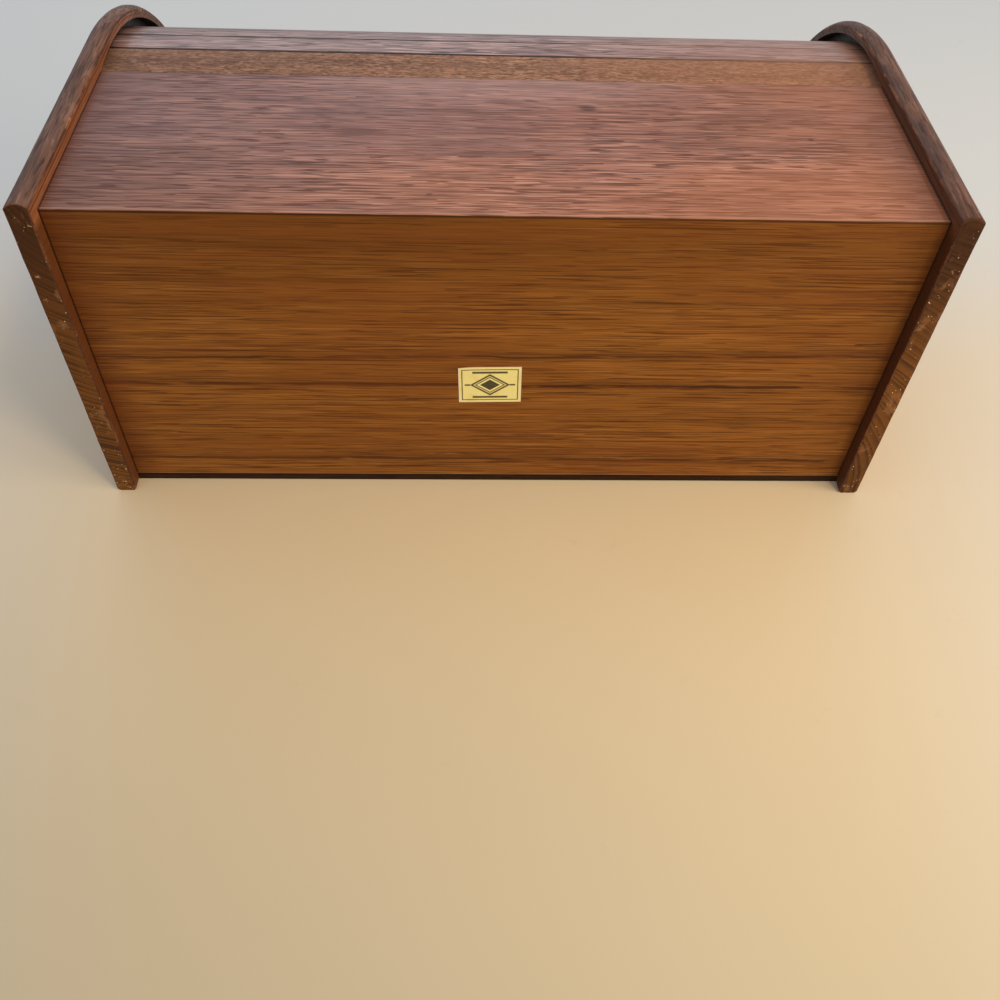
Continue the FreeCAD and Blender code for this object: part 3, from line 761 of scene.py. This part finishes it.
finish_node("top_board", teak("top_board_teak", start=(0.3, 0.2, 0.1), pith=(0.2, 0.02), rings=0.3,
                              gloss=0.4, shine=0.3, wear_and_painted_light=lid_wear_and_painted_light, **fine_grain, **top_tones))
finish_node("back_panel", teak("back_panel_teak", start=(0.9, 0.5, 0), pith=(0.45, -0.3), ring=0.012,
                               rings=0.7, line_share=0.05, streak_rate=9, streaks=0.17, fine=1.65,
                               dash_rate=42, dashes=0.6, draw_rate=15, draws=0.75, hairs=0.4,
                               scarce=0.016, gleams=0.2, patch=0.2, gloss=0.5, shine=0.15,
                               wear_and_painted_light=back_wear_and_painted_light, **panel_tones))
finish_node("bottom_board", teak("bottom_board_teak", start=(1.9, 0.7, 0), shine=0.1, wear_and_painted_light=edges_near_black,
                                 **panel_tones))
finish_node("front_rail", teak("front_rail_teak", start=(2.9, 0.9, 0), rings=0.3, **fine_grain,
                               **top_tones))


# ------------------------------------------------------------------------------ dowels
# Beech pegs hold the boards' ends in the end panels.  Upright ones pin the bottom board under the
# back panel and the front rail.
peg_tones = dict(pale=(205, 170, 125), deep=(190, 152, 108), line=(160, 120, 80), dash=(150, 110, 75))
peg_wood = teak("dowel_beech", ring=0.002, **peg_tones)
for board in ("top_board", "back_panel", "bottom_board", "front_rail"):
    finish_node(board + "_dowels", peg_wood)


# ------------------------------------------------------------------------------ label
# A small gummed paper label on the back panel: yellow stock, trimmed a little pale at the edge,
# printed in dark ink with a plain frame, a lozenge, and short rules beside, above and below it.
# One corner has begun to lift.
label_low, label_high = [Vector(corner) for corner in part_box("label")]
label_middle = (label_low + label_high) / 2
label_size = label_high - label_low
label_columns = 30
label_rows = 24
paper_thickness = 0.00009
paper_lift = 0.00002
paper_waves = 0.00003
lifted_corner = 0.0006
curl_from = 0.62
curl_scale = 0.144
rag_band = 0.001
rag_depth = 0.00008
label_tilt = math.radians(1.3)
ink = tone(38, 26, 20)
bpy.ops.object.select_all(action="DESELECT")
bpy.ops.mesh.primitive_grid_add(x_subdivisions=label_columns, y_subdivisions=label_rows, size=1,
                                rotation=(-math.pi / 2, 0, 0),
                                location=(label_middle.x, label_low.y + paper_lift, label_middle.z))
label = newest("paper_label")
label.scale = (label_size.x, label_size.z, 1)
settle(label)
for vertex in label.data.vertices:
    across = (vertex.co.x - label_low.x) / label_size.x
    up = (label_high.z - vertex.co.z) / label_size.z
    vertex.co.y += lifted_corner * max(0.0, across - up - curl_from) ** 2 / curl_scale
    vertex.co.y += paper_waves * (1 + noise.noise(vertex.co * 170))
    if min(across, 1 - across, up, 1 - up) < rag_band:
        vertex.co.x += rag_depth * noise.noise(vertex.co * 900)
        vertex.co.z += rag_depth * noise.noise(vertex.co * 900 + Vector((3, 5, 7)))
label.data.transform(Matrix.Translation(label_middle) @ Matrix.Rotation(label_tilt, 4, "Y")
                     @ Matrix.Translation(-label_middle))
bpy.context.view_layer.objects.active = label
ply = label.modifiers.new("ply", "SOLIDIFY")
ply.thickness = paper_thickness
ply.offset = -1
bpy.ops.object.modifier_apply(modifier=ply.name)
bpy.ops.object.shade_smooth_by_angle(angle=math.radians(40))

paper_tones = dict(pale=(246, 229, 150), deep=(240, 219, 132), stain=(222, 186, 92), edge=(236, 214, 186))
paper_grain = 0.00004
frame_inset = (0.0017, 0.0004)
lozenge_across = 0.0085
lozenge_up = 0.0062
rule_width = 0.0008
rule_from = (0.0094, 0.0098)
rule_until = (0.0126, 0.0122)
bar_place = (0.0082, 0.0010)
bar_until = (0.0088, 0.0084)
paper = bpy.data.materials.new("label_paper")
tree, surface = shader(paper)
place = add(tree, "SeparateXYZ", {"Vector": add(tree, "TexCoord").outputs["Object"]})
across = reckon(tree, "SUBTRACT", place.outputs["X"], label_middle.x)
up = reckon(tree, "SUBTRACT", place.outputs["Z"], label_middle.z)
lean = math.tan(label_tilt)
straight = reckon(tree, "MULTIPLY_ADD", up, -lean, across)
up = reckon(tree, "ABSOLUTE", reckon(tree, "MULTIPLY_ADD", across, lean, up))
across = reckon(tree, "ABSOLUTE", straight)
margin = reckon(tree, "MINIMUM", reckon(tree, "SUBTRACT", label_size.x / 2, across),
                reckon(tree, "SUBTRACT", label_size.z / 2, up))
frame_line = near(tree, margin, *frame_inset)
spread = reckon(tree, "ADD", reckon(tree, "DIVIDE", across, lozenge_across),
                reckon(tree, "DIVIDE", up, lozenge_up))
ring_line = reckon(tree, "MAXIMUM", near(tree, spread, 1.06, 0.15), near(tree, spread, 0.82, 0.08))
heart = between(tree, spread, 0.60, 0.55)
rule = times(tree, near(tree, up, 0.0, rule_width),
             times(tree, between(tree, across, *rule_from), between(tree, across, *rule_until)))
bars = times(tree, near(tree, up, *bar_place), between(tree, across, *bar_until))
print_mask = reckon(tree, "MAXIMUM", reckon(tree, "MAXIMUM", frame_line, ring_line),
                    reckon(tree, "MAXIMUM", heart, reckon(tree, "MAXIMUM", rule, bars)))
where = add(tree, "TexCoord").outputs["Object"]
fleck = grains(tree, where, (2600, 2600, 2600), detail=2).outputs["Fac"]
stain = grains(tree, where, (170, 170, 170), (4, 1, 1), detail=4).outputs["Fac"]
stock = mixed(tree, between(tree, fleck, 0.35, 0.65), tone(*paper_tones["pale"]),
              tone(*paper_tones["deep"]))
stock = tinted(tree, stock, paper_tones, stain=between(tree, stain, 0.5, 0.7, 0.0, 0.35),
                edge=between(tree, margin, 0.0008, 0.0003, 0.0, 0.7))
inked = times(tree, print_mask, between(tree, fleck, 0.25, 0.45, 0.7, 0.95))
tree.links.new(mixed(tree, inked, stock, ink), surface.inputs["Base Color"])
tree.links.new(between(tree, stain, 0.3, 0.7, 0.42, 0.6), surface.inputs["Roughness"])
bump = add(tree, "Bump", {"Strength": 0.3, "Distance": paper_grain, "Height": fleck})
tree.links.new(bump.outputs["Normal"], surface.inputs["Normal"])
surface.inputs["Specular IOR Level"].default_value = 0.3
label.data.materials.append(paper)
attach(label, "box")
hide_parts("label")


# ------------------------------------------------------------------------------ curtain
# Eight slats of teak glued to canvas, between a wide tail slat and the lead rail with its finger
# pull.  Their ends run in the end panels' grooves, and dirt has settled in the joints.
# The slats' pale greyish tones hold a painted sheen as well as the teak's own colour.
slat_tones_with_sheen = dict(pale=(168, 126, 112), deep=(139, 101, 91), line=(84, 50, 40), dash=(58, 32, 26))
tail_tones = dict(pale=(153, 108, 80), deep=(126, 87, 64), line=(96, 60, 42), dash=(80, 48, 34))
curtain_stains_and_painted_light = dict(dirt=(32, 17, 12), shaded=(84, 58, 48), warm=(164, 106, 72))
joint_dirt = 0.0014
slat_face = 0.1275
slat_back = 0.122
first_joint = 0.052549
slat_turn = 0.1515456
slat_count = 8


def grimy_and_painted_light(tree, coords, colour, rough):
    """Dirt along the joints, heavier at one end, painted shade there and painted warm light at the other.
    """
    place = add(tree, "SeparateXYZ", {"Vector": coords.outputs["Object"]})
    x = place.outputs["X"]
    out_y = reckon(tree, "SUBTRACT", hub.y, place.outputs["Y"])
    out_z = reckon(tree, "SUBTRACT", place.outputs["Z"], hub.z)
    turned = reckon(tree, "SUBTRACT", reckon(tree, "ARCTAN2", out_y, out_z), first_joint)
    steps = reckon(tree, "DIVIDE", turned, slat_turn)
    whole = reckon(tree, "MINIMUM", reckon(tree, "MAXIMUM", reckon(tree, "ROUND", steps), 0.0), slat_count)
    gap = times(tree, reckon(tree, "SUBTRACT", steps, whole), slat_turn * slat_face)
    heavy = reckon(tree, "MAXIMUM", near(tree, whole, 0.0, 0.9), between(tree, x, -0.12, 0.06, 0.35, 1.0))
    return tinted(tree, colour, curtain_stains_and_painted_light, dirt=times(tree, near(tree, gap, 0.0, joint_dirt), heavy),
                   shaded=between(tree, x, 0.0, 0.19, 0.0, 0.28),
                   warm=between(tree, x, 0.0, -0.17, 0.0, 0.5)), rough


slat_names = sorted(n for n in nodes if n.startswith("slat_"))
for count, name in enumerate(slat_names):
    finish_node(name, teak(name + "_teak", start=(0.7 * count, 0.3 * count, 0.1), gloss=0.32, shine=0.5,
                           wear_and_painted_light=grimy_and_painted_light, **fine_grain, **slat_tones_with_sheen))
finish_node("tail_slat", teak("tail_slat_teak", start=(5.5, 0.3, 0.2), rings=0.15, fine=1.35,
                              streak_rate=110, streaks=0.4, dash_rate=420, dashes=0.6, draw_rate=160,
                              draws=0.45, gleams=0.4, gloss=0.6, shine=0.25, wear_and_painted_light=grimy_and_painted_light,
                              **tail_tones))
finish_node("lead_rail", teak("lead_rail_teak", start=(6.5, 0.3, 0.2), gloss=0.32, shine=0.5, wear_and_painted_light=grimy_and_painted_light,
                              **fine_grain, **slat_tones_with_sheen))


# ------------------------------------------------------------------------------ canvas
# Plain-woven cotton canvas glued behind the slats, flat across each slat's back and curved with
# the tail slat and the lead rail, its long edges a little frayed.
canvas_low, canvas_high = [Vector(corner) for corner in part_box("canvas_backing")]
canvas_turns = (-0.229804, 1.359031)
canvas_thickness = 0.0005
glue = 0.00005
thread = 0.0008
weave_depth = 0.0002
fray_depth = 0.0006
frayed_from = 0.49
canvas_columns = 60
canvas_rows = 192
canvas_radius = 0.1221
cotton_tones = dict(pale=(208, 180, 136), deep=(190, 160, 116), soil=(140, 118, 88), hollow=(96, 80, 60))
canvas_wide = canvas_high.x - canvas_low.x
canvas_long = canvas_radius * (canvas_turns[1] - canvas_turns[0])
bpy.ops.object.select_all(action="DESELECT")
bpy.ops.mesh.primitive_grid_add(x_subdivisions=canvas_columns, y_subdivisions=canvas_rows, size=1,
                                location=(0, 0, 0))
canvas = newest("canvas_cloth")
for vertex in canvas.data.vertices:
    turn = canvas_turns[0] + (vertex.co.y + 0.5) * (canvas_turns[1] - canvas_turns[0])
    step = min(max((turn - first_joint) / slat_turn, 0), slat_count)
    flat = turn - first_joint - (math.floor(min(step, slat_count - 1e-6)) + 0.5) * slat_turn
    inside = 0 < step < slat_count
    radius = slat_back / math.cos(flat if inside else slat_turn / 2) - glue
    fray = 0.0
    if abs(vertex.co.x) > frayed_from:
        fray = fray_depth * noise.noise(Vector((turn * 60, vertex.co.x * 4, 2)))
    vertex.co = (canvas_wide * vertex.co.x - math.copysign(abs(fray), vertex.co.x),
                 hub.y - radius * math.sin(turn), hub.z + radius * math.cos(turn))
bpy.ops.object.mode_set(mode="EDIT")
bpy.ops.mesh.select_all(action="SELECT")
bpy.ops.mesh.normals_make_consistent(inside=True)
bpy.ops.object.mode_set(mode="OBJECT")
weight = canvas.modifiers.new("weight", "SOLIDIFY")
weight.thickness = canvas_thickness
weight.offset = 1
bpy.ops.object.modifier_apply(modifier=weight.name)
bpy.ops.object.shade_smooth_by_angle(angle=math.radians(3))

cloth = bpy.data.materials.new("canvas_cloth")
tree, surface = shader(cloth)
coords = add(tree, "TexCoord")
threads = add(tree, "Mapping", {"Vector": coords.outputs["UV"],
                                "Scale": (canvas_wide / thread, canvas_long / thread, 1)}).outputs["Vector"]
uneven = grains(tree, threads, (0.05, 1.2, 1), detail=2).outputs["Fac"]
split = add(tree, "SeparateXYZ", {"Vector": threads})
warp = reckon(tree, "ABSOLUTE", reckon(tree, "SINE", times(tree, split.outputs["X"], math.pi)))
weft = reckon(tree, "ABSOLUTE", reckon(tree, "SINE", times(tree, split.outputs["Y"], math.pi)))
over = add(tree, "TexChecker", {"Vector": threads, "Scale": 1.0, "Color1": (1, 1, 1, 1),
                                "Color2": (0, 0, 0, 1)})
height = mixed(tree, over.outputs["Fac"], warp, weft)
soil = grains(tree, coords.outputs["Object"], (30, 30, 30), detail=4).outputs["Fac"]
cotton = mixed(tree, between(tree, uneven, 0.3, 0.7), tone(*cotton_tones["pale"]),
               tone(*cotton_tones["deep"]))
cotton = tinted(tree, cotton, cotton_tones, soil=between(tree, soil, 0.45, 0.7, 0.0, 0.4),
                 hollow=between(tree, height, 0.55, 0.15, 0.0, 0.6))
tree.links.new(cotton, surface.inputs["Base Color"])
tree.links.new(between(tree, soil, 0.3, 0.7, 0.85, 0.95), surface.inputs["Roughness"])
bump = add(tree, "Bump", {"Strength": 0.6, "Distance": weave_depth, "Height": height})
tree.links.new(bump.outputs["Normal"], surface.inputs["Normal"])
surface.inputs["Specular IOR Level"].default_value = 0.15
canvas.data.materials.append(cloth)
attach(canvas, "curtain")
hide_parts("canvas_backing")
